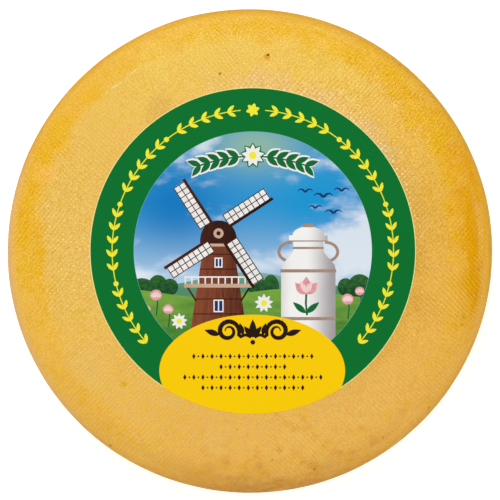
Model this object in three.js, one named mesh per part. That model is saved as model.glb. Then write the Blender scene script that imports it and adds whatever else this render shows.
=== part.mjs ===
// Young gouda: one whole pressed wheel in its smooth coated rind, with a round paper label on its top.
// Millimetres, +Z up. The wheel stands on its flat foot at Z = 0 and the origin is the foot's centre.
// +Y is the top edge of the label as it is read from above.

import * as THREE from 'three';

// Wheel, overall
const WHEEL_DIAMETER = 250;
const WHEEL_HEIGHT = 95;
const BELLY_HEIGHT = 44;          // height of the widest line, a little under half way up
const BELLY_SWAY = 0.12;          // how far the wheel is out of round there

// Wheel, flat top
const TOP_RADIUS = 101;           // mean radius where the flat top turns into the shoulder
const TOP_RADIUS_SWAY = 2.6;      // the shoulder is broader on the +X side than across from it
const TOP_DOME = 1.3;             // rise of the middle over the edge of the flat top
const TOP_LEAN = 0.7;             // the top is this much lower on the -Y edge, as much higher on +Y
const TOP_WAVE = 0.25;            // slow waves along the edge of the top

// Wheel, foot
const FOOT_RADIUS = 98;
const FOOT_RADIUS_SWAY = 1.2;

// Roundness of the sides: 2 is an ellipse, more is squarer
const SHOULDER_POWER = 2.2;
const HEEL_POWER = 2.35;

// Label
const LABEL_DIAMETER = 162;
const LABEL_OFFSET = new THREE.Vector2(1.4, 0.2);   // stuck on a little off the wheel's centre
const LABEL_THICKNESS = 0.4;
const LABEL_GAP = 0.3;            // clearance between the paper and the rind under it

// Fineness
const COLUMNS = 90;
const TOP_RINGS = 9;
const SHOULDER_RINGS = 11;
const HEEL_RINGS = 10;
const FOOT_RINGS = 3;
const LABEL_RINGS = 4;

const RIND = { color: 0xe4b452, roughness: 0.5, metalness: 0 };
const PAPER = { color: 0x14713a, roughness: 0.45, metalness: 0 };

// Even steps from 0 to 1, without the 0.
function steps(count) {
  return Array.from({ length: count }, (_, i) => (i + 1) / count);
}

// Radius of the flat top, the belly and the foot in the direction of an angle.
function topRadius(angle) {
  return TOP_RADIUS - TOP_RADIUS_SWAY * Math.cos(angle - 0.35) + 0.6 * Math.cos(3 * angle + 0.8);
}

function bellyRadius(angle) {
  return WHEEL_DIAMETER / 2 + BELLY_SWAY * (Math.cos(2 * angle + 0.5) - 1);
}

function footRadius(angle) {
  return FOOT_RADIUS + FOOT_RADIUS_SWAY * Math.cos(2 * angle - 0.9);
}

// Height of the top face at a point given by its radius and angle. It is level at the centre and
// at the edge of the flat, so that it runs smoothly into the shoulder.
function topHeight(radius, angle) {
  const share = radius / topRadius(angle);
  const dome = TOP_DOME * (0.5 + 0.5 * Math.cos(Math.PI * Math.min(share, 1)));
  const lean = TOP_LEAN * share * Math.sin(angle);
  const wave = TOP_WAVE * share ** 3 * Math.cos(3 * angle + 1.1);
  return WHEEL_HEIGHT - TOP_DOME + dome + lean + wave;
}

// A quarter turn of the side: share 0 is at the flat, share 1 is at the belly.
function quarterTurn(share, flat, belly, power) {
  const turn = share * Math.PI / 2;
  return {
    radius: flat + (belly - flat) * Math.sin(turn) ** (2 / power),
    drop: Math.cos(turn) ** (2 / power),
  };
}

function polar(radius, angle, height) {
  return new THREE.Vector3(radius * Math.cos(angle), radius * Math.sin(angle), height);
}

function footPoint(share, angle) {
  return polar(share * footRadius(angle), angle, 0);
}

function heelPoint(share, angle) {
  const { radius, drop } = quarterTurn(share, footRadius(angle), bellyRadius(angle), HEEL_POWER);
  return polar(radius, angle, BELLY_HEIGHT * (1 - drop));
}

function shoulderPoint(share, angle) {
  const edge = topRadius(angle);
  const { radius, drop } = quarterTurn(1 - share, edge, bellyRadius(angle), SHOULDER_POWER);
  return polar(radius, angle, BELLY_HEIGHT + (topHeight(edge, angle) - BELLY_HEIGHT) * drop);
}

function topPoint(share, angle) {
  const radius = (1 - share) * topRadius(angle);
  return polar(radius, angle, topHeight(radius, angle));
}

// A closed skin from a bottom point over a stack of rings to a top point, each ring a function
// that gives a point for an angle.
function skinOfRings(bottom, rings, top) {
  const points = [bottom];
  for (const ring of rings) {
    for (let column = 0; column < COLUMNS; column += 1) {
      points.push(ring(column / COLUMNS * 2 * Math.PI));
    }
  }
  points.push(top);

  const at = (ring, column) => 1 + ring * COLUMNS + column % COLUMNS;
  const faces = [];
  const last = rings.length - 1;
  for (let column = 0; column < COLUMNS; column += 1) {
    faces.push(0, at(0, column + 1), at(0, column));
    faces.push(points.length - 1, at(last, column), at(last, column + 1));
    for (let ring = 0; ring < last; ring += 1) {
      faces.push(at(ring, column), at(ring, column + 1), at(ring + 1, column + 1));
      faces.push(at(ring, column), at(ring + 1, column + 1), at(ring + 1, column));
    }
  }

  const geometry = new THREE.BufferGeometry().setFromPoints(points);
  geometry.setIndex(faces);
  geometry.computeVertexNormals();
  return geometry;
}

function wheelGeometry() {
  const rings = [
    ...steps(FOOT_RINGS).map((share) => (angle) => footPoint(share, angle)),
    ...steps(HEEL_RINGS).map((share) => (angle) => heelPoint(share, angle)),
    ...steps(SHOULDER_RINGS).map((share) => (angle) => shoulderPoint(share, angle)),
    ...steps(TOP_RINGS).slice(0, -1).map((share) => (angle) => topPoint(share, angle)),
  ];
  return skinOfRings(polar(0, 0, 0), rings, polar(0, 0, topHeight(0, 0)));
}

// The label's faces follow the top face, one at a small gap over it and one a paper higher.
function labelGeometry() {
  const onTop = (radius, angle, lift) => {
    const x = LABEL_OFFSET.x + radius * Math.cos(angle);
    const y = LABEL_OFFSET.y + radius * Math.sin(angle);
    return new THREE.Vector3(x, y, topHeight(Math.hypot(x, y), Math.atan2(y, x)) + lift);
  };
  const edge = LABEL_DIAMETER / 2;
  const under = LABEL_GAP;
  const over = LABEL_GAP + LABEL_THICKNESS;
  const shares = steps(LABEL_RINGS);
  const rings = [
    ...shares.map((share) => (angle) => onTop(share * edge, angle, under)),
    ...shares.toReversed().map((share) => (angle) => onTop(share * edge, angle, over)),
  ];
  return skinOfRings(onTop(0, 0, under), rings, onTop(0, 0, over));
}

function part(name, geometry, finish) {
  const mesh = new THREE.Mesh(geometry, new THREE.MeshStandardMaterial(finish));
  mesh.name = name;
  return mesh;
}

const youngGouda = new THREE.Group();
youngGouda.add(
  part('wheel', wheelGeometry(), RIND),
  part('label', labelGeometry(), PAPER),
);

export default youngGouda;
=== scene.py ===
from math import cos, hypot, pi, radians, sin, sqrt
from types import SimpleNamespace

import bpy
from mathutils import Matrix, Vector
from mathutils.bvhtree import BVHTree
from mathutils.geometry import delaunay_2d_cdt


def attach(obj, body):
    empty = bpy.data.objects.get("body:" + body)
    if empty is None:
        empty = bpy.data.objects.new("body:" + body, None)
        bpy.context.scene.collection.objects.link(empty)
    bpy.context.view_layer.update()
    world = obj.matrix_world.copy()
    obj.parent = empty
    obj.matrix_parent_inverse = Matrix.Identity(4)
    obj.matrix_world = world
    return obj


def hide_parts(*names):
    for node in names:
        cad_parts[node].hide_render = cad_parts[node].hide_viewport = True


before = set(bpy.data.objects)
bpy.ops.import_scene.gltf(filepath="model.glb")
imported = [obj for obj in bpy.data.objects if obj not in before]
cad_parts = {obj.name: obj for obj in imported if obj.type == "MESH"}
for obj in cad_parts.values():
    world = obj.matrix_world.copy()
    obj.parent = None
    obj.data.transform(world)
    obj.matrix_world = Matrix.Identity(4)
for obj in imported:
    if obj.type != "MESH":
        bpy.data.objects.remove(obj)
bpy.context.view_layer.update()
mm = 0.001


# Formulas in node trees

def formula(operation, swapped=False):  # what a sign between two values does
    def act(flow, other):
        return calc(operation, other, flow) if swapped else calc(operation, flow, other)
    return act


class Flow:  # a value running through a tree, so that a formula reads as one
    __add__ = formula("ADD")
    __radd__ = formula("ADD", True)
    __sub__ = formula("SUBTRACT")
    __rsub__ = formula("SUBTRACT", True)
    __mul__ = formula("MULTIPLY")
    __rmul__ = formula("MULTIPLY", True)
    __truediv__ = formula("DIVIDE")
    __rtruediv__ = formula("DIVIDE", True)
    __pow__ = formula("POWER")

    def __init__(self, socket):
        self.socket = socket
        self.tree = socket.id_data


def fill(node, inputs):
    for key, value in inputs.items():
        if isinstance(value, Flow):
            value.tree.links.new(value.socket, node.inputs[key])
        else:
            node.inputs[key].default_value = value


def addNode(tree, kind, inputs=None, output=0, **settings):  # gives one of its outputs
    node = tree.nodes.new(kind)
    for key, value in settings.items():
        setattr(node, key, value)
    fill(node, inputs or {})
    return Flow(node.outputs[output])


def calc(operation, *values):
    tree = next(value.tree for value in values if isinstance(value, Flow))
    return addNode(tree, "ShaderNodeMath", dict(enumerate(values)), operation=operation)


def cosine(flow):
    return calc("COSINE", flow)


def sine(flow):
    return calc("SINE", flow)


def smaller(a, b):
    return calc("MINIMUM", a, b)


def larger(a, b):
    return calc("MAXIMUM", a, b)


def clamped(flow):
    return addNode(flow.tree, "ShaderNodeClamp", {"Value": flow})


def hump(flow, middle, width):  # 1 at the middle, fading to 0 about two widths away
    away = (flow - middle) / width
    return calc("EXPONENT", away * away * -1)


def humpMm(flow, middle, width):
    return hump(flow, middle * mm, width * mm)


def rise(flow, low, high):  # smoothly from 0 at low to 1 at high
    return addNode(flow.tree, "ShaderNodeMapRange", {"Value": flow, "From Min": low, "From Max": high},
                   interpolation_type="SMOOTHSTEP")


def riseMm(flow, low, high):
    return rise(flow, low * mm, high * mm)


def swing(noise, reach):  # by a noise to both sides, over a reach in mm in all
    return (noise - 0.5) * (reach * mm)


def vector(x, y, z):
    tree = next(value.tree for value in (x, y, z) if isinstance(value, Flow))
    return addNode(tree, "ShaderNodeCombineXYZ", {0: x, 1: y, 2: z})


def ringed(turn, radius, z):  # the point at an angle round the upright axis
    return vector(cosine(turn) * radius, sine(turn) * radius, z)


def apart(where):  # x, y and z of a point
    node = addNode(where.tree, "ShaderNodeSeparateXYZ", {0: where}).socket.node
    return [Flow(socket) for socket in node.outputs]


def noise(where, scale, detail=2, roughness=0.5):
    return addNode(where.tree, "ShaderNodeTexNoise",
                   {"Vector": where, "Scale": scale, "Detail": detail, "Roughness": roughness})


def stretched(where, x, y):
    return addNode(where.tree, "ShaderNodeMapping", {"Vector": where, "Scale": (x, y, 1)})


# Meshes and modifiers

def addObject(name, data):
    thing = bpy.data.objects.new(name, data)
    bpy.context.scene.collection.objects.link(thing)
    return thing


def meshPiece(name, corners, faces):
    mesh = bpy.data.meshes.new(name)
    mesh.from_pydata(corners, [], faces)
    mesh.update()
    return addObject(name, mesh)


def newTree(name, inputs):
    tree = bpy.data.node_groups.new(name, "GeometryNodeTree")
    kinds = {int: "NodeSocketInt", float: "NodeSocketFloat",
             bpy.types.Material: "NodeSocketMaterial", bpy.types.Object: "NodeSocketObject"}
    for key, value in inputs.items():
        socket = tree.interface.new_socket(key, in_out="INPUT", socket_type=kinds[type(value)])
        if isinstance(value, (int, float)):
            socket.default_value = value
    tree.interface.new_socket("Geometry", in_out="OUTPUT", socket_type="NodeSocketGeometry")
    given = tree.nodes.new("NodeGroupInput")
    return tree, SimpleNamespace(**{key: Flow(given.outputs[key]) for key in inputs})


def pointParts(tree):
    return apart(addNode(tree, "GeometryNodeInputPosition"))


def moved(geometry, **inputs):
    return addNode(geometry.tree, "GeometryNodeSetPosition", {"Geometry": geometry, **inputs})


def closeTree(geometry, material):
    tree = geometry.tree
    whole = addNode(tree, "GeometryNodeRealizeInstances", {"Geometry": geometry})
    coated = addNode(tree, "GeometryNodeSetMaterial", {"Geometry": whole, "Material": material})
    fill(tree.nodes.new("NodeGroupOutput"), {"Geometry": coated})


def grow(name, tree, inputs):  # runs a tree and keeps what it makes as a plain mesh
    piece = meshPiece(name, [], [])
    modifier = piece.modifiers.new(name, "NODES")
    modifier.node_group = tree
    for item in tree.interface.items_tree:
        if item.in_out == "INPUT":
            modifier[item.identifier] = inputs[item.name]
    graph = bpy.context.evaluated_depsgraph_get()
    mesh = bpy.data.meshes.new_from_object(piece.evaluated_get(graph))
    piece.modifiers.clear()
    piece.data = mesh
    mesh.name = name
    return piece


def join(piece, body, slot, *nodes):
    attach(piece, body)
    if nodes:
        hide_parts(*nodes)
    faces = sum(len(face.vertices) - 2 for face in piece.data.polygons)
    print(piece.name, "has", faces, "triangles")


# Finishes: procedural, with every colour by its screen values from 0 to 255

def paint(tone):  # a name on the rind, screen values, or a colour from a tree as it is
    if isinstance(tone, Flow):
        return tone
    shares = [value / 255 for value in (rindColours[tone] if isinstance(tone, str) else tone)]
    straight = [share / 12.92 if share <= 0.04045 else ((share + 0.055) / 1.055) ** 2.4 for share in shares]
    return (*straight, 1)


def newFinish(name):  # with its shader and the object coordinates, whole and apart
    finish = bpy.data.materials.new(name)
    finish.use_nodes = True
    shader = finish.node_tree.nodes["Principled BSDF"]
    where = addNode(finish.node_tree, "ShaderNodeTexCoord", None, "Object")
    return finish, shader, where, apart(where)


def mixed(share, first, second):
    return addNode(share.tree, "ShaderNodeMix", {0: share, 6: paint(first), 7: paint(second)}, 2,
                   data_type="RGBA")


def surface(shader, colour, height, roughness):
    bump = addNode(height.tree, "ShaderNodeBump", {"Height": height, "Distance": 1})
    fill(shader, {"Base Color": colour, "Normal": bump, "Roughness": roughness})


# Camera, over the wheel and looking straight down, with the label's top edge up

view = {
    "height": 1144 * mm,       # of the lens over the floor
    "aside": (0, 0.54 * mm),
    "lens": 152.4,
    "sensor": 36,
}


def makeCamera():
    camera = bpy.data.cameras.new("camera")
    camera.lens = view["lens"]
    camera.sensor_width = view["sensor"]
    camera.clip_start = 0.05
    holder = addObject("camera", camera)
    holder.location = (*view["aside"], view["height"])
    bpy.context.scene.camera = holder


makeCamera()


# Rind: a thin golden coat over pressed cheese, with the imprint of the cloth

# Tones of the coat. Some stand in for light: the two dull shade tones are painted shade, the belly tone and
# in part the side and umber tones are painted shade on the side and lower rim, and the glint, the crease's
# pale yellow and the cool grey are painted highlights and sheen.
rindColours = {
    "sunny": (244, 201, 94), "rosy": (239, 183, 84), "beige": (237, 193, 116),
    "blush": (242, 188, 100), "apricot": (247, 191, 74), "wheat": (242, 206, 95),
    "greySheen": (212, 186, 146), "gold": (237, 181, 14), "amber": (232, 164, 4),
    "peach": (242, 188, 66), "honey": (250, 191, 93), "ridge": (240, 184, 112),
    "shaded": (214, 160, 58), "softShade": (214, 162, 84), "rust": (224, 146, 26),
    "side": (231, 170, 67), "paleSide": (231, 193, 136), "goldenSide": (226, 170, 28),
    "belly": (206, 152, 40), "umber": (187, 120, 60), "olive": (222, 176, 0),
    "honeyed": (224, 146, 10), "ochre": (200, 112, 10), "dark": (84, 34, 10),
    "glint": (254, 236, 190), "creaseHighlight": (255, 225, 146),
}

clothMarks = {
    "pitch": 1.86 * mm,
    "slants": (48, 138),       # degrees, of the two thread directions on the top
    "around": 292,             # slanting threads counted once round the side
    "depth": 0.12 * mm,
}

# What runs round the wheel, in mm from its axis, and then by height over its foot
rindForm = {
    "labelHem": (80, 94),      # the paler rind beside the label, partly painted sheen, thins out
    "shoulder": 104.5,         # the golden coat starts
    "strip": 111.2,            # it ran together
    "fold": 116.2,             # the cloth was folded
    "outerStrip": 117.8,
    "shoulderEnd": 118.2,
    "above": (48, 66),         # the top's patches and marks begin
    "sideTone": (73, 84),      # the side's deeper tone, partly painted shade, ends
}

# Places on the top, seen from above in mm, where a tone gathers, among them painted shade on the left, beside
# the label on the right, on the upper rim and in part on the lower rim, and painted glints on the left: x, y
# and reach
rindPlaces = {
    "goldenRight": (117, 16, 58), "goldenAbove": (66, 100, 62), "goldenLeft": (-112, 22, 48),
    "evenLeft": (-113, -10, 46), "goldenLow": (-90, -72, 36), "dullLeft": (-104, 50, 46),
    "shadeAbove": (-58, 100, 44), "stripRight": (112, -6, 25), "stripAbove": (30, 112, 62),
    "stripLeft": (-106, 38, 38), "stripOuter": (111, 39, 17), "wovenRight": (107, -18, 19),
    "foldLeft": (-108, 40, 46), "shadeLeft": (-110, 18, 85), "shadeRight": (80, 20, 30),
    "shineLeft": (-92, -2, 30), "smoothAbove": (-68, 76, 40), "smoothRight": (100, 24, 24),
    "smoothBelow": (-8, -104, 42), "openMesh": (76, 70, 30), "umberShadeBelow": (6, -126, 44),
    "foldRight": (116, 8, 44), "foldAbove": (20, 114, 60), "rustBelow": (20, -106, 56),
    "smudgedBelow": (-40, -85, 70),
}

# Small marks on the rind: x and y on the top, radius, tone, and how strong
rindMarks = [
    (8.6, 96.4, 1.9, "honeyed", 0.8), (8.9, 97.3, 0.7, "dark", 0.95), (-15, 87.9, 0.75, "dark", 0.8),
    (-62.5, -66.1, 2.1, "olive", 0.75), (-70.5, -98.2, 0.8, "dark", 0.6), (-6.3, -88.6, 0.8, "ochre", 0.4),
    (2.4, -101.8, 0.9, "ochre", 0.3), (14.6, -99, 1.6, "ochre", 0.22), (11, -104, 0.8, "ochre", 0.5),
    (9.3, -112.6, 0.8, "ochre", 0.4), (66.4, -93.2, 0.9, "ochre", 0.55), (90.4, -79, 1.2, "ochre", 0.5),
    (76.1, -80, 2.6, "ochre", 0.15), (61.5, -95, 3.2, "ochre", 0.22), (32.2, -109, 0.8, "dark", 0.4),
    (44.5, -100.5, 2.4, "ochre", 0.22), (51, -100.5, 2, "ochre", 0.25), (22.5, -100.5, 2.6, "ochre", 0.2),
    (38.5, -95, 2.6, "olive", 0.2), (4.5, -106.5, 2.6, "ochre", 0.2), (-13, -105, 4, "ochre", 0.15),
    (-20.5, -107.5, 4, "ochre", 0.15), (96, 44, 2.6, "olive", 0.3), (99.5, 19.7, 2.4, "honeyed", 0.3),
    (102.6, 9, 2.2, "olive", 0.35), (105.7, 30.7, 2.2, "honeyed", 0.25), (96.8, 34.7, 0.7, "dark", 0.3),
    (106.6, -32.6, 1.5, "ochre", 0.3), (105.7, -37, 1.3, "ochre", 0.3),
]

# Patches where the coat pooled or ran thin, a few of painted shade along the label's edge, and a greyer
# painted sheen among the glints by the label's upper right: x and y on the top, reach, tone, and how strong
coatPatches = [
    (80, 67, 7, "gold", 0.45), (95, 55, 7.5, "gold", 0.6), (90.5, 68, 7.5, "gold", 0.45),
    (108.5, -14, 6.5, "amber", 0.7), (112, 36, 4.5, "amber", 0.75), (115.5, 27, 4.5, "amber", 0.6),
    (-78.5, 79, 6, "gold", 0.5), (-92, 53, 6.5, "gold", 0.55), (-95, 62, 6.5, "gold", 0.5),
    (-104.5, 49, 5, "gold", 0.5), (-103, 38.5, 6.5, "honey", 0.6), (-107, 16, 5, "honey", 0.35),
    (29, 101, 6, "gold", 0.4), (69, 90, 6, "gold", 0.3), (-101, -20, 6, "gold", 0.35),
    (-48, 95, 10, "wheat", 0.45), (-24, 101, 10, "wheat", 0.45), (-2, 104, 8, "wheat", 0.4),
    (4, 112, 6, "gold", 0.35), (-19, 111.5, 5, "gold", 0.35), (40, 97, 5, "gold", 0.35),
    (108.5, 43, 5.5, "amber", 0.5), (100.5, 36, 6, "gold", 0.4), (100, 60, 6, "gold", 0.3),
    (99, 22, 4.5, "gold", 0.3), (104, 6, 6.5, "amber", 0.5), (-104, 27, 5, "gold", 0.35),
    (22, -87, 8, "wheat", 0.2), (27, -79, 5, "gold", 0.3), (-82, -4, 7, "beige", 0.3),
    (-81, -57, 13, "beige", 0.35), (-18, -94, 10, "beige", 0.35), (-52, -99, 8, "sunny", 0.35),
    (33, -106, 9, "wheat", 0.2), (-44, 70, 9, "softShade", 0.36), (68, 49, 7, "greySheen", 0.25),
    (62, 60, 6, "greySheen", 0.2), (85, -3, 8, "shaded", 0.5), (86, -27, 8, "shaded", 0.35),
]

# Short creases where the cloth was gathered, each lit along its ridge by a painted highlight: both ends,
# width, and how plain
creases = [
    (-71.4, 78.6, -70.9, 79, 0.6, 0.7), (-68.1, 80.7, -64.4, 83.2, 0.5, 1.2),
    (-61.3, 85.4, -60.6, 85.9, 0.5, 0.6), (-58.9, 87.9, -55.6, 90.8, 0.5, 0.85),
]


class Coat:  # a colour that tone after tone is laid over
    def __init__(self, share, first, second):
        self.colour = mixed(share, first, second)

    def lay(self, share, tone):
        self.colour = mixed(share, self.colour, tone)

    def lighten(self, amount):  # paler or deeper by an amount: painted glints, sheen and shade on the cloth's imprint, and smudges in the coat
        tree = self.colour.tree
        blue = addNode(tree, "ShaderNodeSeparateColor", {0: self.colour}, "Blue")
        tint = vector(amount * 0.6, amount * 0.69, amount * (0.03 + 2.5 * blue))
        changed = addNode(tree, "ShaderNodeVectorMath", {0: self.colour, 1: tint}, operation="ADD")
        darkest = (0.003, 0.003, 0.003)
        self.colour = addNode(tree, "ShaderNodeVectorMath", {0: changed, 1: darkest}, operation="MAXIMUM")


def leaning(x, y, degrees):  # how far a point is along a direction on the top
    return x * cos(radians(degrees)) + y * sin(radians(degrees))


def awayFrom(x, y, placeX, placeY):
    dx, dy = x - placeX * mm, y - placeY * mm
    return calc("SQRT", dx * dx + dy * dy)


def around(x, y, placeX, placeY, reach):  # 1 at a place on the top, fading out over its reach
    dx = (x - placeX * mm) / (reach * mm)
    dy = (y - placeY * mm) / (reach * mm)
    return calc("EXPONENT", (dx * dx + dy * dy) * -1)


def clothImprint(where, x, y, z, turn):  # its threads, its meshes, and a chance for each mesh
    wander = noise(where, 28, 1) - 0.5
    shift = wander * (6 * mm) + swing(noise(where, 130, 1), 0.9)
    threads = [(leaning(x, y, slant + 90) + shift) / clothMarks["pitch"] for slant in clothMarks["slants"]]
    rows = z / (clothMarks["pitch"] * sqrt(2))
    columns = turn * (clothMarks["around"] / (2 * pi)) + wander
    sides = [columns + rows, columns - rows]
    level = larger(riseMm(z, 76, 82), 1 - riseMm(z, 3, 8))
    swung = y + smaller(x, x * 0) * 0.4
    outward = rise(x * swung / (mm * mm), -1500, 1500)  # the cloth is drawn tight outwards
    found = []
    for (first, second), lean in ((threads, outward), (sides, 0.5)):
        waves = [cosine(flow * (2 * pi)) * 0.5 + 0.5 for flow in (first, second)]
        cell = vector(calc("ROUND", first), calc("ROUND", second), 0)
        chance = addNode(cell.tree, "ShaderNodeTexWhiteNoise", {"Vector": cell}, "Value",
                         noise_dimensions="2D")
        found.append((waves[0] * lean + waves[1] * (1 - lean), waves[0] * waves[1], chance))
    return [flat * level + side * (1 - level) for flat, side in zip(*found)]


def creaseLines(x, y, wobble):  # 1 on a crease
    found = x * 0
    for x0, y0, x1, y1, width, plain in creases:
        long = hypot(x1 - x0, y1 - y0)
        ux, uy = (x1 - x0) / long, (y1 - y0) / long
        dx, dy = x / mm - x0, y / mm - y0
        along = dx * ux + dy * uy
        aside = dx * -uy + dy * ux + (wobble - 0.5) * 2.5
        ends = rise(along, -1.2, 0.8) * (1 - rise(along, long - 0.8, long + 1.2))
        found = larger(found, hump(aside, 0, width) * ends * plain)
    return found


def rindFinish():
    finish, shader, where, (x, y, z) = newFinish("coatedRind")
    radius = calc("SQRT", x * x + y * y)
    turn = calc("ARCTAN2", y, x)
    near = {name: around(x, y, *place) for name, place in rindPlaces.items()}
    cloudy = noise(where, 24, 3)
    patchy = noise(where, 62, 3, 0.55)
    mottled = noise(where, 150, 2.5, 0.55)
    grainy = noise(where, 620, 3, 0.7)
    fine = noise(where, 1500, 1)
    smudged = noise(where, 290, 2)
    above = riseMm(z, *rindForm["above"])
    upper = riseMm(y, -80, 10)
    roughRadius = radius + swing(patchy, 20) + swing(mottled, 8)

    # the top, rosier towards the lower right, darkened with painted shade on the left and beside the label
    coat = Coat(riseMm(leaning(x, y, 125) + swing(cloudy, 130), -110, 75), "rosy", "sunny")
    lay = coat.lay
    # lit marks the upper right beside the label, where the painted sheen and glints are strongest; the paler
    # rind there is partly painted sheen
    lit = riseMm(leaning(x, y, 52), 40, 76)
    hem = 1 - riseMm(roughRadius, *rindForm["labelHem"])
    lay(hem * above * (0.15 + 0.75 * lit), "beige")
    # painted shade: over the left of the top, and on the rind to the right of the label
    lay(near["shadeLeft"] * 0.27, "softShade")
    lay(near["shadeRight"] * 0.42, "shaded")
    beside = (1 - riseMm(radius, 82, 90)) * riseMm(x, 10, 70) * riseMm(y, 54, 42)
    lay(beside * 0.34, "shaded")
    lay(riseMm(y, -40, -80) * riseMm(radius, 107, 100) * 0.22, "beige")

    # the golden shoulder in broad patches, deepest and broadest on the right
    right, even = near["goldenRight"], near["evenLeft"]
    ringwise = ringed(turn, 60 * mm, radius)
    broad = noise(ringwise, 50, 2)
    patches = noise(ringwise, 100, 3, 0.55)
    start = rindForm["shoulder"] * mm - right * (8 * mm) + even * (9 * mm * riseMm(y, 4, 24) - 4 * mm)
    ended = hump(turn, 0.05, 0.18)
    end = rindForm["shoulderEnd"] * mm - ended * (3.8 * mm) + swing(mottled, 2)
    waves = swing(broad, 20) * (1 - 0.85 * even - 0.5 * right)
    roughly = radius + waves + swing(mottled, 6) + swing(grainy, 3)
    shoulder = rise(roughly, start - 2 * mm, start + 5 * mm) * above
    band = shoulder * (1 - (0.3 + 0.6 * ended) * rise(radius, end - 1.5 * mm, end + 1.5 * mm))
    lay(band * 0.6, mixed(riseMm(y, -90, 0), "honey", "apricot"))
    lay(shoulder - band, "peach")
    outwards = riseMm(radius, 102, 112)
    share = 0.16 * riseMm(y, -90, 10) + 0.34 * near["goldenAbove"] + 0.5 * near["goldenLeft"]
    share = share * (0.58 + 0.6 * rise(patches, 0.38, 0.6)) + (mottled - 0.5) * 0.6
    share = share + 0.22 * near["goldenLow"]
    share = share + right * (0.3 + 0.24 * outwards + (patches - 0.5) * 0.8)

    # a deeper strip where the coat ran together, swinging outwards below the right
    bend = rindForm["strip"] * mm + riseMm(y, 20, 90) * (1.4 * mm) + riseMm(x, -40, -110) * (1.4 * mm)
    rim = radius - bend + smaller(turn, turn * 0) * (14 * mm) + swing(broad, 2)
    strip = (1.2 * near["stripRight"] + 0.18 * near["stripAbove"]) * humpMm(rim, 0.6, 2.7)
    strip = strip + 0.4 * near["stripLeft"] * humpMm(rim, 1.4, 4.2)
    golden = clamped(band * share + right * 0.2 * (1 - band) + strip * above)
    lay(golden, mixed(right * (0.7 + 0.8 * outwards), "gold", "amber"))
    lay(near["dullLeft"] * shoulder * 0.1, "ochre")
    # painted shade on the outer shoulder above the label, a little to the left
    lay(near["shadeAbove"] * outwards * 0.17, "shaded")

    # the side, a deeper tone that is partly painted shade, golden under the shoulder's coat, darker where the
    # wheel bulges with painted shade, dry on the left
    coated = riseMm(leaning(x, y, 75) + swing(broad, 60), -5, 60)
    side = mixed(coated * 0.85, "side", "goldenSide")
    lay((1 - riseMm(z, *rindForm["sideTone"])) * riseMm(z, 0, 16), side)
    # painted shade where the wheel bulges
    lay((1 - riseMm(z, 66, 77)) * riseMm(z, 30, 64) * (0.5 + 0.6 * cloudy), "belly")
    dry = riseMm(x, -60, -112) * (1 - riseMm(y + swing(cloudy, 80), 12, 70))
    dry = dry * riseMm(radius, 117.5, 120.5) * riseMm(z, 14, 62)
    lay(dry * 0.42, "paleSide")
    # a browner lower rim: partly the coat's own colour, partly painted shade
    brown = near["umberShadeBelow"] * riseMm(roughRadius, 106, 122)
    lay(brown * riseMm(z, 22, 68) * 0.7, "umber")

    # folds that the cloth left along the rim: pale ridges with deeper lines between them
    streaks = noise(ringed(turn, 9 * mm, radius), 900, 3, 0.6)
    fold = humpMm(radius, rindForm["fold"], 3.2) * above
    folded = larger(near["foldRight"], near["foldAbove"] * 0.25)
    folded = larger(folded, near["foldLeft"] * 0.35) * above
    ridges = larger(humpMm(rim, 3.4, 0.6), humpMm(rim, 5.7, 0.8) * 0.7)
    lines = larger(humpMm(rim, 4.5, 0.4) * 0.6, humpMm(rim, 7.2, 1))
    lay(ridges * folded * 0.36, "ridge")
    lay(lines * folded * 0.75, "gold")
    lay(fold * (0.08 + folded) * rise(streaks, 0.52, 0.68) * 0.5, "ridge")
    deeper = (fold * (0.15 + 0.8 * folded) + lines * folded * 0.3) * rise(streaks, 0.5, 0.34)
    lay(deeper * 0.6, "rust")
    outer = near["stripOuter"] * humpMm(radius, rindForm["outerStrip"], 1.9) * above
    lay(outer * (0.7 + mottled), "amber")

    # patches, mottling and marks
    roughX, roughY = x + swing(patchy, 16), y + swing(mottled, 10)
    for placeX, placeY, reach, tone, strength in coatPatches:
        away = awayFrom(roughX, roughY, placeX, placeY) + swing(grainy, 4)
        lay(riseMm(away, reach * 1.3, reach * 0.3) * above * strength, tone)
    lay(rise(mottled, 0.5, 0.74) * (0.16 + 0.2 * band), "gold")
    lay(rise(patchy, 0.52, 0.7) * (0.1 + 0.2 * above) * (1 - golden), "blush")
    lay(rise(smudged, 0.54, 0.74) * 0.14, "gold")
    lay(near["smudgedBelow"] * rise(smudged, 0.4, 0.64) * (0.3 + 0.7 * above) * 0.3, "gold")
    rusty = near["rustBelow"] * rise(noise(where, 110, 4, 0.6), 0.52, 0.7)
    lay(rusty * above * 0.5, "rust")
    for placeX, placeY, size, tone, strength in rindMarks:
        away = awayFrom(x, y, placeX, placeY) + swing(grainy, 1.2)
        lay((1 - riseMm(away, size * 0.3, size * 1.2)) * above * strength, tone)

    # imprint of the cloth, its threads lighter and its pits darker as painted sheen and shade, its fine grain
    # as painted glints, and painted glints on the raised meshes
    threads, meshes, chance = clothImprint(where, x, y, z, turn)
    plain = 1 - 0.4 * near["smoothAbove"] - 0.25 * near["smoothRight"]
    plain = plain - 0.35 * near["smoothBelow"] + 0.45 * near["openMesh"]
    woven = near["wovenRight"]
    fade = (0.15 + 0.85 * rise(noise(where, 34, 2), 0.38, 0.62)) * plain + woven * 0.8
    relief = (threads * 0.8 + meshes * 0.4 - 0.5) * fade
    rough = (0.56 + 0.44 * upper) * (1 + 0.2 * shoulder * (1 - right * 0.6))
    grain = ((fine - 0.5) * 1.05 + (grainy - 0.5) * 0.3) * rough * plain * (1 - 0.4 * woven)
    smudge = (smudged - 0.5) * (0.16 - 0.1 * upper)
    coat.lighten(relief * (0.06 + 0.025 * upper) + grain * 0.72 + smudge)
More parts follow.
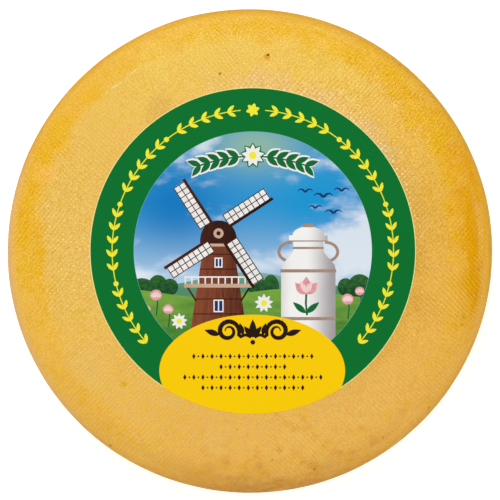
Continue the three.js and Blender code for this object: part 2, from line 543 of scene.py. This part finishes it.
    # painted glints: strongest beside the label on its upper right, weaker on the left of the top, and
    # brighter towards the top of the wheel
    shine = (1 - riseMm(roughRadius, 82, 94)) * 0.45 + (1 - riseMm(radius, 83, 87.5)) * 0.4
    bright = clamped(larger(lit * shine, near["shineLeft"] * (1 - shoulder) * 0.28))
    chosen = 0.75 * rise(chance, -0.1, 0.9) + 0.9 * rise(chance, 0.78, 0.96)
    cells = meshes ** 2 * chosen * rise(grainy, 0.28, 0.5) * above * plain
    coat.lighten(cells * (0.07 + 0.25 * bright) * (0.3 + 0.7 * upper))
    lay(cells * bright * 1.2, "glint")
    # a painted highlight along each crease
    gathered = creaseLines(x, y, mottled)
    lay(gathered * rise(grainy, 0.3, 0.5), "creaseHighlight")

    raised = (relief * clothMarks["depth"] + swing(fine, 0.05) + swing(grainy, 0.12) + swing(patchy, 0.5)
              + gathered * (0.3 * mm) + (streaks - 0.5) * fold * (0.5 * mm))
    surface(shader, coat.colour, raised, 0.42 + 0.25 * grainy)
    shader.inputs["Specular IOR Level"].default_value = 0.01
    return finish


# The wheel, as the cloth and the press shaped it

wheelForm = {
    "diameter": 250 * mm,
    "height": 95 * mm,
    "bellyHeight": 44 * mm,
    "bellySway": 0.12 * mm,
    "topRadius": 101 * mm,
    "topRadiusSway": 2.6 * mm,
    "topRadiusWave": 0.6 * mm,
    "topDome": 1.3 * mm,
    "topLean": 0.7 * mm,
    "topWave": 0.25 * mm,
    "footRadius": 98 * mm,
    "footRadiusSway": 1.2 * mm,
    "shoulderPower": 2.2,
    "heelPower": 2.35,
    "columns": 600,
    "footRows": 8,
    "heelRows": 42,
    "shoulderRows": 56,
    "topRows": 52,
    "lumps": 0.5 * mm,
    "ripples": 0.18 * mm,
    "foldHeight": 0.35 * mm,
}


def wheelTree(inputs):
    tree, form = newTree("pressedWheel", inputs)
    rows = form.footRows + form.heelRows + form.shoulderRows + form.topRows
    grid = addNode(tree, "GeometryNodeMeshGrid", {"Size X": 1, "Size Y": 1,
                   "Vertices X": form.columns + 1, "Vertices Y": rows + 1})
    across, up, _ = pointParts(tree)
    turn = (across + 0.5) * (2 * pi)
    row = (up + 0.5) * rows
    shares = []
    for count in (form.footRows, form.heelRows, form.shoulderRows, form.topRows):
        shares.append(clamped(row / count))
        row = row - count
    heel, shoulder = shares[1] * (pi / 2), shares[2] * (pi / 2)

    topRadius = (form.topRadius - form.topRadiusSway * cosine(turn - 0.35)
                 + form.topRadiusWave * cosine(turn * 3 + 0.8))
    belly = form.diameter * 0.5 + form.bellySway * (cosine(turn * 2 + 0.5) - 1)
    footRadius = form.footRadius + form.footRadiusSway * cosine(turn * 2 - 0.9)
    heelOut = sine(heel) ** (2 / form.heelPower)
    heelUp = 1 - cosine(heel) ** (2 / form.heelPower)
    shoulderIn = 1 - larger(cosine(shoulder), 0) ** (2 / form.shoulderPower)
    shoulderUp = sine(shoulder) ** (2 / form.shoulderPower)
    radius = (shares[0] * footRadius + (belly - footRadius) * heelOut
              - (belly - topRadius) * shoulderIn - shares[3] ** 1.7 * topRadius)

    share = smaller(radius / topRadius, 1)
    dome = form.topDome * (0.5 + 0.5 * cosine(share * pi))
    lean = form.topLean * share * sine(turn)
    wave = form.topWave * share ** 3 * cosine(turn * 3 + 1.1)
    topHeight = form.height - form.topDome + dome + lean + wave
    height = form.bellyHeight * heelUp + (topHeight - form.bellyHeight) * shoulderUp
    shaped = moved(grid, Position=ringed(turn, radius, height))
    closed = addNode(tree, "GeometryNodeMergeByDistance", {"Geometry": shaped, "Distance": 0.01 * mm})

    # lumps, ripples outside the label and folds along the rim, all fading out at the foot's edge
    where = addNode(tree, "GeometryNodeInputPosition")
    x, y, z = apart(where)
    angle = calc("ARCTAN2", y, x)
    bare = 1 - (1 - riseMm(calc("SQRT", x * x + y * y), 80, 88)) * riseMm(z, 60, 80)
    lumps = (noise(where, 16, 1) - 0.5) * form.lumps
    ripples = (noise(where, 90, 2) - 0.5) * form.ripples * bare
    foldAt = 80 * mm + 7 * mm * noise(ringed(angle, 1, 0), 2.2, 2)
    folded = hump(z, foldAt, 0.9 * mm) - 0.7 * hump(z, foldAt - 1.9 * mm, 1.2 * mm)
    held = 0.3 + 0.7 * larger(hump(angle, -0.15, 0.7), hump(angle, 1.45, 0.6))
    relief = (lumps + ripples + folded * form.foldHeight * held) * riseMm(z, 0.5, 6)
    offset = addNode(tree, "ShaderNodeVectorMath", {0: addNode(tree, "GeometryNodeInputNormal"),
                     "Scale": relief}, operation="SCALE")
    smooth = addNode(tree, "GeometryNodeSetShadeSmooth", {"Geometry": moved(closed, Offset=offset)})
    closeTree(smooth, form.rind)
    return tree


def makeWheel():
    inputs = {**wheelForm, "rind": rindFinish()}
    piece = grow("cheeseWheel", wheelTree(inputs), inputs)
    join(piece, "root", "rind", "wheel")
    return piece


cheeseWheel = makeWheel()
print("wheel made")


# Label: one round sheet, printed in fields of flat ink. Its drawing is in millimetres from its middle.

labelForm = {
    "middle": (1.4, 0.2),
    "radius": 81,
    "border": 0.45,            # the pale line along the edge
    "picture": 59,
    "pictureLine": 0.1,
    "panelMiddle": (-0.3, -59.6),
    "panelHalf": (46.1, 27.9),
    "under": 0.04,             # of the sheet's underside over the rind
    "thickness": 0.16,
    "mesh": 6.5,
}

# Every ink with its deeper tone, the sky's from its foot upwards
inkColours = {
    "border": ((246, 234, 160), (238, 220, 136)), "ring": ((8, 117, 48), (4, 107, 42)),
    "line": ((150, 206, 210), (120, 186, 198)), "sky": ((206, 226, 240), (46, 149, 210)),
    "farHill": ((142, 180, 172), (84, 142, 108)), "meadow": ((128, 172, 66), (62, 124, 48)),
    "hedge": ((58, 116, 52), (20, 72, 38)), "thatch": ((140, 74, 48), (66, 26, 18)),
    "timber": ((70, 32, 22), (36, 16, 13)), "sail": ((248, 246, 242), (214, 206, 200)),
    "tin": ((248, 246, 243), (150, 142, 146)), "band": ((196, 168, 148), (96, 70, 60)),
    "tan": ((220, 190, 164), (176, 132, 104)), "white": ((250, 249, 246), (228, 226, 222)),
    "pink": ((236, 168, 172), (206, 112, 122)), "blush": ((246, 218, 214), (232, 184, 184)),
    "navy": ((38, 52, 116), (24, 38, 92)), "leafGreen": ((22, 116, 56), (14, 88, 44)),
    "panel": ((255, 210, 0), (254, 203, 0)), "brown": ((44, 24, 18), (32, 16, 12)),
    "yellow": ((247, 240, 60), (240, 228, 44)),
}


def steps(count):  # from 0 to 1
    return [i / count for i in range(count + 1)]


def ovalOutline(x, y, halfWidth, halfHeight, count=24):
    turns = [2 * pi * i / count for i in range(count)]
    return [(x + halfWidth * cos(turn), y + halfHeight * sin(turn)) for turn in turns]


def archOutline(x, y, half, height, power=1, count=24):
    turns = [pi * t for t in steps(count)]
    return [(x + half * cos(turn), y + height * sin(turn) ** power) for turn in turns]


def boxOutline(x0, y0, x1, y1):
    return [(x0, y0), (x1, y0), (x1, y1), (x0, y1)]


def barOutline(x, half, low, high):
    return boxOutline(x - half, low, x + half, high)


def strokeOutline(path, widths):  # a line of changing width along a path
    left, right = [], []
    for i, (x, y) in enumerate(path):
        before = path[max(i - 1, 0)]
        after = path[min(i + 1, len(path) - 1)]
        dx, dy = after[0] - before[0], after[1] - before[1]
        long = hypot(dx, dy)
        half = widths[i] / 2 if isinstance(widths, list) else widths / 2
        left.append((x - dy / long * half, y + dx / long * half))
        right.append((x + dy / long * half, y - dx / long * half))
    return right + left[::-1]


def placed(outline, x=0, y=0, tilt=0, size=1, flip=False):
    turn = radians(tilt)
    result = []
    for px, py in outline:
        px = -px if flip else px
        result.append((x + size * (px * cos(turn) - py * sin(turn)),
                       y + size * (px * sin(turn) + py * cos(turn))))
    return result


def leafOutline(length, width, x, y, tilt, size=1):
    upper = [(length * t, width / 2 * sin(pi * t ** 0.85)) for t in steps(9)]
    return placed(upper[::-1] + [(px, -py) for px, py in upper[1:-1]], x, y, tilt, size)


def waveOutline(level, swell, length, shift):  # everything under a wavy crest, past the sheet's edge
    reach = 90
    xs = [reach * (2 * t - 1) for t in steps(60)]
    crest = [(x, level + swell * sin((x + shift) / length)) for x in xs]
    return [(-reach, -reach), (reach, -reach)] + crest[::-1]


def countryside():
    yield "farHill", waveOutline(-14, 3.4, 15, 26)
    for x, width, height in ((-55, 6, 4.4), (-47, 5, 6), (-41, 4, 4.2), (2.5, 5, 4.4), (9, 4, 6.2),
                             (46, 4, 4.4), (53, 6, 6.4)):
        yield "hedge", ovalOutline(x, -18, width, height)
    yield "meadow", waveOutline(-21, 2, 13, 4)


mill = {"x": -17, "foot": -50, "sill": 3, "footHalf": 15.5, "sillHalf": 7.4,
        "deck": -17, "deckHalf": 17, "capHalf": 9.2, "capHeight": 12,
        "hub": 8.6, "arm": 32, "tilt": 33, "sailStart": 6.5, "sailWidth": 6.6}


def towerHalf(y):
    share = (mill["sill"] - y) / (mill["sill"] - mill["foot"])
    return mill["sillHalf"] + (mill["footHalf"] - mill["sillHalf"]) * share


def windmill():
    x, sill, foot = mill["x"], mill["sill"], mill["foot"]
    yield "thatch", [(x - towerHalf(foot), foot), (x + towerHalf(foot), foot),
                     (x + towerHalf(sill), sill), (x - towerHalf(sill), sill)]
    for i in range(6):
        y = sill - 5 - 7.4 * i
        yield "timber", barOutline(x, towerHalf(y), y, y + 0.5)
    for y, half in ((-8.4, 2), (-30.5, 2.5)):
        yield "white", barOutline(x, half, y, y + 2.5 * half)
        yield "navy", boxOutline(x - half + 0.6, y + 0.6, x - 0.3, y + 2.5 * half - 0.6)
        yield "navy", boxOutline(x + 0.3, y + 0.6, x + half - 0.6, y + 2.5 * half - 0.6)
    deck, half = mill["deck"], mill["deckHalf"]
    for side in (-1, 1):
        brace = [(x + side * (half - 1.5), deck - 1), (x + side * (towerHalf(deck - 8) - 0.6), deck - 8)]
        yield "timber", strokeOutline(brace, 0.9)
    yield "tan", barOutline(x, half, deck - 1.3, deck + 0.6)
    yield "white", barOutline(x, half, deck + 3.6, deck + 4.3)
    for i in range(11):
        post = x - half + 0.5 + (2 * half - 1) * i / 10
        yield "white", barOutline(post, 0.33, deck + 0.6, deck + 3.8)
    yield "timber", archOutline(x, sill, mill["capHalf"], mill["capHeight"], 0.75)
    yield "tan", barOutline(x, mill["capHalf"] + 0.4, sill - 0.9, sill + 0.5)
    for i in range(4):
        arm = {"x": x, "y": mill["hub"], "tilt": mill["tilt"] + 90 * i}
        first, last, wide = mill["sailStart"], mill["arm"] - 1, mill["sailWidth"]
        yield "sail", placed(boxOutline(first, 0, last, wide), **arm)
        for j in range(9):
            bar = first + j * (last - first - 0.5) / 8
            yield "timber", placed(boxOutline(bar, 0, bar + 0.45, wide), **arm)
        for rail in (3.2, 6.2):
            yield "timber", placed(boxOutline(first, rail, last, rail + 0.45), **arm)
        yield "timber", placed(boxOutline(0, -0.8, mill["arm"], 0.7), **arm)
    yield "tan", ovalOutline(x, mill["hub"], 2.5, 2.5)
    yield "timber", ovalOutline(x, mill["hub"], 1.1, 1.1, 16)


churn = {"x": 27.5, "foot": -52, "waist": -9, "neck": 1, "lip": 5, "half": 13.5,
         "neckHalf": 7.4, "lipHalf": 9.6, "lipHeight": 2.6, "lidHalf": 7.8, "lidHeight": 4.4}


def milkChurn():
    x, half, thin = churn["x"], churn["half"], churn["neckHalf"]
    waist, neck, lip = churn["waist"], churn["neck"], churn["lip"]
    for side in (-1, 1):
        ring = [(x + side * (8.2 + 6.4 * sin(pi * t)), -0.6 - 4.8 * cos(pi * t)) for t in steps(14)]
        yield "band", strokeOutline(ring, 1.5)
    bend = [(thin + (half - thin) * (0.5 + 0.5 * cos(pi * t)), waist + (neck - waist) * t) for t in steps(14)]
    edge = [(half, churn["foot"])] + bend + [(thin, lip)]
    yield "tin", [(x + px, py) for px, py in edge] + [(x - px, py) for px, py in edge[::-1]]
    for y in (waist - 1.8, -34.5):
        yield "band", barOutline(x, half + 0.35, y, y + 1.6)
    yield "band", barOutline(x, thin + 0.3, neck - 0.2, neck + 0.9)
    yield "tin", archOutline(x, lip + churn["lipHeight"], churn["lidHalf"], churn["lidHeight"], count=20)
    yield "band", barOutline(x, 2.6, lip + 6.6, lip + 8.3)
    yield "tin", barOutline(x, churn["lipHalf"], lip, lip + churn["lipHeight"])
    yield "band", barOutline(x, churn["lipHalf"], lip - 0.5, lip + 0.1)
    yield "leafGreen", strokeOutline([(x - 0.6, -32), (x - 1.2, -26), (x - 0.9, -20)], 1)
    for tilt in (40, 140):
        yield "leafGreen", leafOutline(8.6, 3, x - 1.1, -31, tilt)
    for tilt, size in ((44, 0.9), (-44, 0.9), (0, 1)):
        yield "pink", leafOutline(8.8, 5, x - 1, -21.6, 90 + tilt, size)
    for tilt in (26, -26):
        yield "blush", leafOutline(6.8, 2.5, x - 1, -21, 90 + tilt)


def clover(x, y, size):
    yield "leafGreen", strokeOutline([(x, y), (x + 0.8, y - 4 * size), (x + 0.2, y - 10 * size)], 0.7)
    yield "pink", ovalOutline(x, y, 2.9 * size, 2.7 * size, 20)
    for i in range(7):
        yield "blush", leafOutline(2.9 * size, 1.3 * size, x, y - 0.8 * size, 12 + 26 * i)


def daisy(x, y, size, edge=0):
    for ink, more in (("leafGreen", edge), ("white", 0)):
        for i in range(9 if edge or ink == "white" else 0):
            yield ink, leafOutline(5.2 * size + more, 2.3 * size + 2 * more, x, y, 90 + 40 * i)
    yield "yellow", ovalOutline(x, y, 1.7 * size, 1.7 * size, 20)


def birds():
    for x, y, size in ((26, 29, 1), (35, 26.5, 1.25), (44, 29.5, 1), (31, 21, 0.9), (40, 18.5, 1.1)):
        wing = strokeOutline([(0, 0), (1.3, 1.3), (2.6, 1.5), (3.9, 0.6)], [1.1, 0.9, 0.6, 0.25])
        for flip in (False, True):
            yield "navy", placed(wing, x, y, 0, size, flip)


def twigPoint(side, t):
    return side * t, 46.8 - 0.0066 * t * t


def sprigs():  # a green twig with a pale edge on each side of a daisy, high in the sky
    for ink, more in (("white", 1.1), ("leafGreen", 0)):
        for side in (1, -1):
            yield ink, strokeOutline([twigPoint(side, t) for t in range(3, 29, 5)], 0.8 + more)
            for step in range(5):
                t = 7 + 4.7 * step
                x, y = twigPoint(side, t - 0.45 * more)
                for lift in (1, -1):
                    lean = 34 * lift - 0.7 * t
                    tilt = lean if side > 0 else 180 - lean
                    yield ink, leafOutline(7.2 + 1.1 * more, 2.9 + 1.2 * more, x, y, tilt)
    yield from daisy(0, 47.2, 1.1, 0.7)


def scroll(side):  # one half of the flourish on the yellow panel
    path = [(side * (1 + 5.6 * t), -43.2 + 1.4 * sin(pi * t)) for t in steps(8)[:-1]]
    for t in steps(29):
        turn = radians(200 - 560 * t)
        reach = 5.6 - 4.2 * t
        path.append((side * (12.2 + reach * cos(turn)), -39.9 + reach * sin(turn)))
    widths = [0.6 + 1.7 * sin(pi * min(1, 0.08 + i / len(path))) for i in range(len(path))]
    yield "brown", strokeOutline(path, widths)
    yield "brown", leafOutline(8, 3, side * 16.4, -41.8, 18 if side > 0 else 162)
    yield "brown", leafOutline(6.2, 2.6, side * 4.8, -41.8, 74 if side > 0 else 106)


def panelPrint():
    for side in (1, -1):
        yield from scroll(side)
    for tilt, size in ((0, 1), (38, 0.8), (-38, 0.8)):
        yield "brown", leafOutline(9, 3.6, 0, -43, 90 + tilt, size)
    yield "brown", ovalOutline(0, -45.4, 1.2, 1.2, 16)


def printLayers():  # ink, outline, and the field that it stays in, from the lowest up
    radius, picture = labelForm["radius"], labelForm["picture"]
    for ink, reach, count in (("border", radius, 240), ("ring", radius - labelForm["border"], 240),
                              ("line", picture + labelForm["pictureLine"], 180), ("sky", picture, 180)):
        yield ink, ovalOutline(0, 0, reach, reach, count), None
    for group in (countryside(), birds(), windmill(), milkChurn(), clover(-48, -22, 1),
                  clover(-42, -29, 0.9), clover(-53, -29, 0.8), clover(47, -24, 1),
                  clover(53, -20, 0.8), daisy(5.5, -26, 0.9), daisy(-36.5, -35, 0.8), sprigs()):
        for ink, outline in group:
            yield ink, outline, "sky"
    yield "panel", ovalOutline(*labelForm["panelMiddle"], *labelForm["panelHalf"], 120), None
    for ink, outline in panelPrint():
        yield ink, outline, "panel"


def leftTurning(outline):  # the outline in the direction that has its inside on the left
    pairs = zip(outline, outline[1:] + outline[:1])
    return outline if sum(a[0] * b[1] - b[0] * a[1] for a, b in pairs) > 0 else outline[::-1]


def cutSheet(layers):  # one flat mesh in which every visible field has its own faces
    corners, outlines, firstOf = [], [], {}
    for index, (ink, outline, _) in enumerate(layers):
        outlines.append(list(range(len(corners), len(corners) + len(outline))))
        corners += [Vector(point) for point in leftTurning(outline)]
        firstOf.setdefault(ink, index)
    step, reach = labelForm["mesh"], labelForm["radius"] - 3
    count = int(reach / step) + 1
    for i in range(-count, count + 1):
        for j in range(-count, count + 1):
            spot = Vector(((i + 0.5 * (j % 2)) * step, j * step * 0.87))
            if spot.length < reach:
                corners.append(spot)
    flat, _, faces, _, _, owners = delaunay_2d_cdt(corners, [], outlines, 1, 0.0005, True)
    chosen, inks = [], []
    for face, found in zip(faces, owners):
        if 0 not in found:
            continue
        for index in sorted(found, reverse=True):
            ink, _, field = layers[index]
            if field is None or firstOf[field] in found:
                break
        chosen.append(face)
        inks.append(ink)
    return flat, chosen, inks


def deeperShare(ink, where, x, y):  # how much of its deeper tone an ink has at a place
    midX, midY = labelForm["middle"]
    clouds = noise(where, 60, 2)
    level = stretched(where, 0.3, 1)
    if ink == "tin":
        across = (x / mm - (churn["x"] + midX)) / churn["half"]
        return rise(calc("ABSOLUTE", across + 0.35), 0.2, 1.35) * 0.9 + (clouds - 0.5) * 0.2
    if ink in ("thatch", "timber"):
        across = (x / mm - (mill["x"] + midX)) / mill["footHalf"]
        straw = noise(stretched(where, 1, 0.12), 900, 3, 0.6)
        return across * 0.45 + 0.4 + (straw - 0.5) * 1.3
    if ink == "meadow":
        down = (midY - 18 - y / mm) / 22
        return down * 0.7 + (noise(level, 240, 4, 0.6) - 0.5) * 1.6 + 0.1
    if ink == "farHill":
        return (midY - 10 - y / mm) / 9 + (noise(level, 160, 3) - 0.5) * 0.8
    if ink == "hedge":
        down = (midY - 11 - y / mm) / 8
        return down * 0.6 + (noise(where, 500, 3, 0.7) - 0.5) * 2.4 + 0.2
    if ink in ("pink", "blush", "sail"):
        return clouds * 0.5 + (noise(where, 420, 2) - 0.5) * 1.4
    return noise(where, 900, 3, 0.6) * 0.5 + clouds * 0.3


def skyPrint(where, x, y):  # blue, deepest at the left, with bright cloud and a pale glow near the top
    up = y / (labelForm["picture"] * mm)
    side = x / (labelForm["picture"] * mm)
    sky = Coat(rise(up, -0.66, 0.44), *inkColours["sky"])
    sky.lay(hump(side, -0.62, 0.4) * hump(up, 0.4, 0.36) * 0.9, (10, 118, 190))
    sky.lay(hump(side, 0.5, 0.3) * hump(up, 0.5, 0.32) * 0.9, (14, 151, 212))
    sky.lay(hump(side, 0.05, 0.4) * hump(up, 0.88, 0.22) * 0.85, (152, 190, 158))
    puffs = noise(stretched(where, 1, 1.9), 26, 5, 0.55)
    bank = hump(up, -0.3, 0.35) * 0.12 + hump(side, 0.95, 0.3) * hump(up, 0.24, 0.4) * 0.3
    bank = bank + hump(side, -0.38, 0.18) * hump(up, 0.88, 0.16) * 0.12
    sky.lay(rise(puffs + bank, 0.53, 0.76) * 0.85, (234, 240, 246))
    return sky.colour


def inkFinish(ink):  # on smooth coated paper
    finish, shader, where, (x, y, _) = newFinish(ink + "Ink")
    if ink == "sky":
        colour = skyPrint(where, x, y)
    else:
        colour = mixed(deeperShare(ink, where, x, y), *inkColours[ink])
    fibres = noise(where, 1400, 3, 0.6)
    height = fibres * (0.008 * mm) + noise(where, 30, 2) * (0.25 * mm)
    surface(shader, colour, height, 0.44 + 0.12 * fibres)
    shader.inputs["Specular IOR Level"].default_value = 0.04
    return finish


def makeLabel(wheel):
    flat, faces, inks = cutSheet(list(printLayers()))
    rind = BVHTree.FromObject(wheel, bpy.context.evaluated_depsgraph_get())
    spots = []
    for point in flat:
        x, y = (point[i] * mm + labelForm["middle"][i] * mm for i in range(2))
        hit = rind.ray_cast(Vector((x, y, wheelForm["height"] * 2)), Vector((0, 0, -1)))[0]
        spots.append((x, y, hit.z if hit else 0))
    low = labelForm["under"] * mm
    high = low + labelForm["thickness"] * mm
    count = len(spots)
    corners = [(x, y, z + high) for x, y, z in spots] + [(x, y, z + low) for x, y, z in spots]
    upper = [tuple(face) for face in faces]
    lower = [tuple(count + i for i in reversed(face)) for face in faces]
    edges = {(a, b) for face in upper for a, b in zip(face, face[1:] + face[:1])}
    rim = [(a, b) for a, b in edges if (b, a) not in edges]
    walls = [(b, a, a + count, b + count) for a, b in rim]
    used = sorted({i for face in upper + lower for i in face})
    order = {old: new for new, old in enumerate(used)}
    solid = [tuple(order[i] for i in face) for face in upper + lower + walls]
    piece = meshPiece("roundLabel", [corners[i] for i in used], solid)
    names = sorted(set(inks), key=list(inkColours).index)
    for name in names:
        piece.data.materials.append(inkFinish(name))
    edgeInk = names.index("border")
    for index, face in enumerate(piece.data.polygons):
        face.material_index = names.index(inks[index]) if index < len(inks) else edgeInk
        face.use_smooth = index < 2 * len(inks)
    rimEdges = {frozenset((order[a + step], order[b + step])) for a, b in rim for step in (0, count)}
    for edge in piece.data.edges:
        edge.use_edge_sharp = frozenset(edge.vertices) in rimEdges
    join(piece, "root", "label_paper", "label")
    return piece


roundLabel = makeLabel(cheeseWheel)
print("label made")


# Ink laid over the sheet: a garland round the green ring and rows of small lozenges on the panel

laidInk = {
    "middleX": labelForm["middle"][0] * mm,
    "middleY": labelForm["middle"][1] * mm,
    "inkHeight": 0.04 * mm,
}

garlandForm = {
    "ringRadius": 69.8 * mm,
    "firstLeaf": radians(5),   # from the flower at the top down each side
    "lastLeaf": radians(131),
    "pairs": 23,
    "dotEvery": 6,
    "leafLength": 4.8 * mm,
    "leafWidth": 1.9 * mm,
    "lean": radians(35),
    "stemWidth": 0.6 * mm,
    "dotWidth": 2.6 * mm,
    "petals": 6,
    "petalLength": 3.4 * mm,
    "petalWidth": 2.1 * mm,
}

rowForm = {
    "pitch": 2.25 * mm,
    "lozengeWidth": 1.7 * mm,
    "lozengeHeight": 3 * mm,
    "dotWidth": 0.9 * mm,
}
rowPlaces = ((-52.4, 27), (-57.6, 15), (-62.8, 31), (-68, 23))    # height on the sheet, marks in the row


def pointsAt(where, count):
    return addNode(where.tree, "GeometryNodePoints", {"Count": count, "Position": where})


def strewn(form, points, chosen, drop, turn, long, wide):
    facing = addNode(points.tree, "ShaderNodeCombineXYZ", {2: turn})
    return addNode(points.tree, "GeometryNodeInstanceOnPoints",
                   {"Points": points, "Selection": chosen, "Instance": drop, "Rotation": facing,
                    "Scale": vector(long, wide, form.inkHeight)})


def inkDrop(tree, segments, rings, start, taper):  # a flat lens of ink, one long and one wide
    ball = addNode(tree, "GeometryNodeMeshUVSphere", {"Segments": segments, "Rings": rings, "Radius": 1})
    x, y, z = pointParts(tree)
    narrow = larger(1 - x * x, 0) ** taper
    return moved(ball, Position=vector(x * 0.5 + start, y * 0.5 * narrow, z))


def layOnSheet(tree, form, parts):  # each point keeps its small height over the sheet
    heap = tree.nodes.new("GeometryNodeJoinGeometry")
    for part in parts:
        fill(heap, {0: part})
    whole = addNode(tree, "GeometryNodeRealizeInstances", {"Geometry": Flow(heap.outputs[0])})
    x, y, z = pointParts(tree)
    x, y = x + form.middleX, y + form.middleY
    sheet = addNode(tree, "GeometryNodeObjectInfo", {"Object": form.sheet}, "Geometry",
                    transform_space="RELATIVE")
    under = addNode(tree, "GeometryNodeRaycast",
                    {"Target Geometry": sheet, "Source Position": vector(x, y, 0.3),
                     "Ray Direction": (0, 0, -1), "Ray Length": 1}, "Hit Position")
    closeTree(moved(whole, Position=vector(x, y, apart(under)[2] + z)), form.ink)


def garlandTree(inputs):
    tree, form = newTree("ringGarland", inputs)
    index = addNode(tree, "GeometryNodeInputIndex")
    half = calc("MODULO", index, 2) * 2 - 1
    side = calc("MODULO", calc("FLOOR", index / 2), 2) * 2 - 1
    pair = calc("FLOOR", index / 4)
    away = form.firstLeaf + (form.lastLeaf - form.firstLeaf) * (pair + 1) / form.pairs
    angle = pi / 2 + half * away
    points = pointsAt(ringed(angle, form.ringRadius, 0), form.pairs * 4)
    isDot = calc("LESS_THAN", calc("MODULO", pair + 1, form.dotEvery), 0.5)
    leaf = inkDrop(tree, 10, 4, 0.5, 0.35)
    leaves = strewn(form, points, 1 - isDot, leaf, angle - half * (pi / 2) + side * form.lean,
                    form.leafLength, form.leafWidth)
    dots = strewn(form, points, isDot * calc("GREATER_THAN", side, 0), inkDrop(tree, 14, 4, 0, 0), 0,
                  form.dotWidth, form.dotWidth)
    top = pointsAt(vector(0, form.ringRadius, 0), form.petals)
    flower = strewn(form, top, True, leaf, (index + 0.25) * (2 * pi) / form.petals,
                    form.petalLength, form.petalWidth)
    stems = []
    for sign in (1, -1):
        arc = addNode(tree, "GeometryNodeCurveArc",
                      {"Resolution": 90, "Radius": form.ringRadius,
                       "Start Angle": pi / 2 + form.firstLeaf * sign,
                       "Sweep Angle": (form.lastLeaf - form.firstLeaf) * sign})
        section = addNode(tree, "GeometryNodeCurvePrimitiveCircle",
                          {"Resolution": 6, "Radius": form.stemWidth / 2})
        swept = addNode(tree, "GeometryNodeCurveToMesh",
                        {"Curve": arc, "Profile Curve": section, "Fill Caps": True})
        x, y, z = pointParts(tree)
        flat = vector(x, y, z * form.inkHeight * 2 / form.stemWidth)
        stems.append(moved(swept, Position=flat))
    layOnSheet(tree, form, [leaves, dots, flower] + stems)
    return tree


def rowTree(inputs):
    tree, form = newTree("panelRows", inputs)
    index = addNode(tree, "GeometryNodeInputIndex")
    lozenge = inkDrop(tree, 4, 2, 0, 0)
    dot = inkDrop(tree, 10, 4, 0, 0)
    odd = calc("MODULO", index, 2)
    rows = []
    for level, count in rowPlaces:
        along = (index - (count - 1) / 2) * form.pitch
        points = pointsAt(vector(along, level * mm, 0), count)
        rows.append(strewn(form, points, 1 - odd, lozenge, 0, form.lozengeWidth, form.lozengeHeight))
        rows.append(strewn(form, points, odd, dot, 0, form.dotWidth, form.dotWidth))
    layOnSheet(tree, form, rows)
    return tree


def makeInkRows(sheet):
    for name, form, makeTree, ink in (("ringGarland", garlandForm, garlandTree, "yellow"),
                                      ("panelRows", rowForm, rowTree, "brown")):
        inputs = {**laidInk, **form, "sheet": sheet, "ink": inkFinish(ink)}
        join(grow(name, makeTree(inputs), inputs), "root", "label_paper")


makeInkRows(roundLabel)
print("garland and rows laid")


# Floor and light

room = {
    "floor": ((238, 238, 238), (230, 230, 229)),
    "floorReach": 2.4,
    "floorGlow": 0.53,         # the paper sweep is lit from below
    "air": 0.46,
}

# Lamps: place in metres, the disk's size, and watts
lamps = {
    "keyLight": ((-0.3, 0.75, 1.1), 0.7, 4.6),
    "overheadLight": ((0, 0.05, 1.9), 1.4, 9.6),
    "rightFill": ((1.15, -0.25, 0.35), 0.7, 1.4),
    "leftFill": ((-1, -0.55, 0.35), 0.7, 1),
}


def makeFloor():
    size = room["floorReach"]
    corners = [(-size, -size, 0), (size, -size, 0), (size, size, 0), (-size, size, 0)]
    floor = meshPiece("paleFloor", corners, [(0, 1, 2, 3)])
    finish, shader, where, _ = newFinish("palePaint")
    fill(shader, {"Base Color": mixed(noise(where, 3, 2) * 0.1, *room["floor"])})
    shader.inputs["Roughness"].default_value = 0.9
    shader.inputs["Emission Color"].default_value = (1, 1, 1, 1)
    shader.inputs["Emission Strength"].default_value = room["floorGlow"]
    floor.data.materials.append(finish)


def softLight(name, place, size, watts):
    lamp = bpy.data.lights.new(name, "AREA")
    lamp.shape = "DISK"
    lamp.size = size
    lamp.energy = watts
    holder = addObject(name, lamp)
    holder.location = place
    aim = Vector((0, 0, wheelForm["height"] * 0.7)) - Vector(place)
    holder.rotation_euler = aim.to_track_quat("-Z", "Y").to_euler()


def makeRoom():
    makeFloor()
    for name, settings in lamps.items():
        softLight(name, *settings)
    world = bpy.data.worlds.new("air")
    world.use_nodes = True
    sky = world.node_tree.nodes["Background"]
    sky.inputs["Color"].default_value = (1, 1, 1, 1)
    sky.inputs["Strength"].default_value = room["air"]
    scene = bpy.context.scene
    scene.world = world
    scene.view_settings.view_transform = "Standard"


makeRoom()
